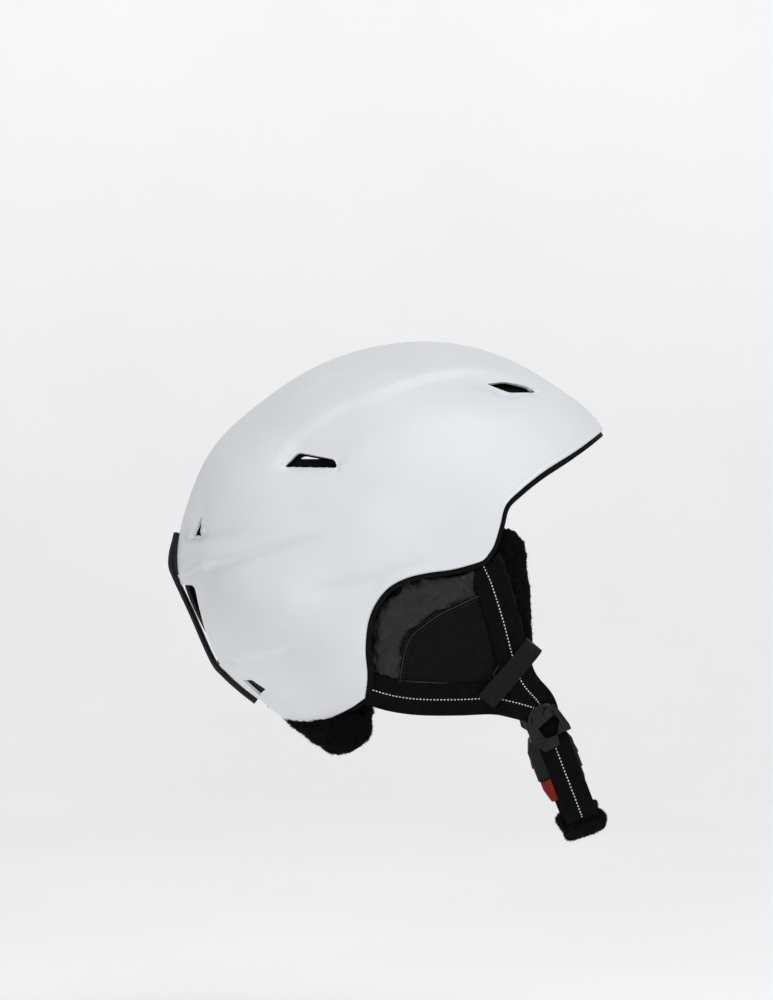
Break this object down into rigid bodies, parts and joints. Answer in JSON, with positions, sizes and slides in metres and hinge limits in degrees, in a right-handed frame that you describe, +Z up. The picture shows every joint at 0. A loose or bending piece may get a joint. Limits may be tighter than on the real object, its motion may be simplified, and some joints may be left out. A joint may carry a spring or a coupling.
{
  "type": "ski helmet",
  "caption": "Hard-shell ski helmet with foam liner, soft ear pads, webbing chin strap with side-release buckle and rear goggle-strap retainer.",
  "frame": {"origin": "centre of the head cavity, level with the tops of the ears, on the middle plane", "axes": "+X towards the face, +Y to the wearer's left, +Z up through the crown, in the attitude it is worn in"},
  "size_m": [0.2775, 0.214, 0.3147],
  "materials": {
    "shell_white": "satin matte",
    "eps_black": "moulded bead foam",
    "liner_fabric": "brushed knit",
    "fleece": "short pile fleece",
    "pad_leather": "grained",
    "webbing": "woven, dashed white stitch",
    "elastic": "woven elastic",
    "band_rubber": "matte",
    "hardware_black": "moulded satin",
    "buckle_red": "moulded satin",
    "grille_black": "moulded"
  },
  "bodies": {
    "helmet": {"outer_shell": "shell_white", "eps_liner": "eps_black", "crown_pad": "liner_fabric", "brow_pad": "liner_fabric", "rear_pad": "liner_fabric", "vent_grilles": "grille_black", "neck_roll": "fleece", "goggle_band_anchor": "band_rubber", "snap_stud": "hardware_black", "buckle_webbing": "webbing", "buckle_housing": "hardware_black", "side_pad_left": "liner_fabric", "ear_pad_cover_left": "pad_leather", "ear_pad_lining_left": "fleece", "front_strap_left": "webbing", "rear_strap_left": "webbing", "loop_band_left": "elastic", "divider_left": "hardware_black", "side_pad_right": "liner_fabric", "ear_pad_cover_right": "pad_leather", "ear_pad_lining_right": "fleece", "front_strap_right": "webbing", "rear_strap_right": "webbing", "loop_band_right": "elastic", "divider_right": "hardware_black"},
    "goggle_band_body": {"goggle_band": "band_rubber", "snap_cap": "hardware_black"},
    "chin_strap_body": {"buckle_plug": "buckle_red", "chin_strap": "webbing", "chin_pad": "fleece"},
    "prong_front_body": {"prong_front": "buckle_red"},
    "prong_rear_body": {"prong_rear": "buckle_red"}
  },
  "joints": [
    {"name": "goggle_band_swing", "type": "hinge", "parent": "helmet", "child": "goggle_band_body", "pos_m": [-0.1368, 0, -0.009], "axis": [0, 1, 0], "range_deg": [0, 85]},
    {"name": "buckle_release", "type": "slide", "parent": "helmet", "child": "chin_strap_body", "axis": [0.3584, 0, -0.9336], "range_m": [0, 0.022], "deforming": ["prong_front", "prong_rear"]},
    {"name": "prong_front_press", "type": "hinge", "parent": "chin_strap_body", "child": "prong_front_body", "pos_m": [0.12339, 0.084, -0.15022], "axis": [0, 1, 0], "range_deg": [-6, 0], "stiffness_Nm_per_rad": 0.5},
    {"name": "prong_rear_press", "type": "hinge", "parent": "chin_strap_body", "child": "prong_rear_body", "pos_m": [0.10658, 0.084, -0.15667], "axis": [0, 1, 0], "range_deg": [0, 6], "stiffness_Nm_per_rad": 0.5}
  ]
}
